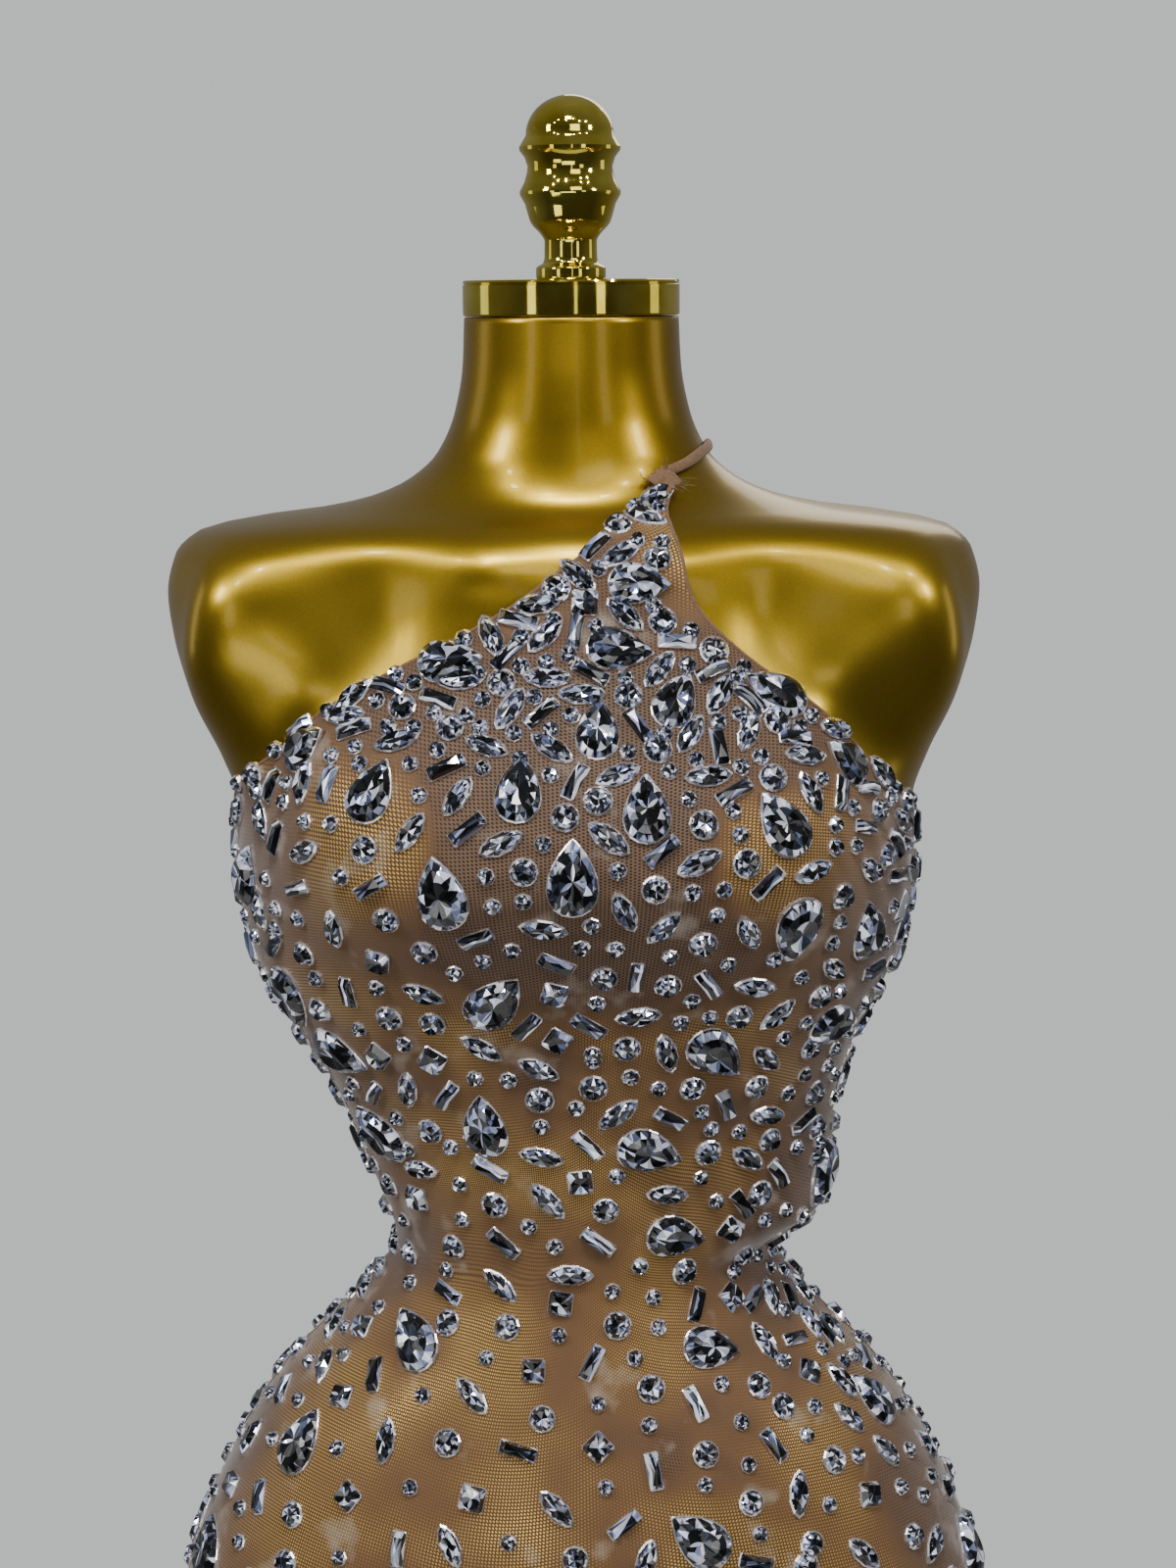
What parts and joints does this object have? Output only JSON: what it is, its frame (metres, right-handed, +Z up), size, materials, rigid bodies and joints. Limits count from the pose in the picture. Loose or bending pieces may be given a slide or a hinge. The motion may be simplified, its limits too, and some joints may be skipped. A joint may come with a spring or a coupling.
{
  "type": "rhinestone mini dress on a limbless dress form",
  "caption": "Asymmetric halter mini dress of stretch mesh set with cut stones, fitted over a gold limbless dress form on a round stand.",
  "frame": {"origin": "middle of the stand base's underside, on the surface that the form stands on", "axes": "+Z up along the form's axis, -Y out of the wearer's front, +X towards the wearer's left"},
  "size_m": [0.4124, 0.3183, 1.0938],
  "materials": {
    "mesh_cloth": "nude stretch hexagonal mesh",
    "strap_cloth": "nude stretch tricot",
    "stone": "foil-backed cut crystal",
    "stone_rim": "silvered setting",
    "form_paint": "pearl gold lacquer, gloss",
    "polished_gold": "plated, mirror polished"
  },
  "bodies": {
    "root": {"dress_front": "mesh_cloth", "dress_back_band": "mesh_cloth", "dress_skirt_back": "mesh_cloth", "neck_strap": "strap_cloth", "strap_tack": "strap_cloth", "dress_form": "form_paint", "neck_cap": "polished_gold", "finial": "polished_gold", "stand_stem": "polished_gold", "stand_base": "polished_gold"}
  },
  "joints": []
}
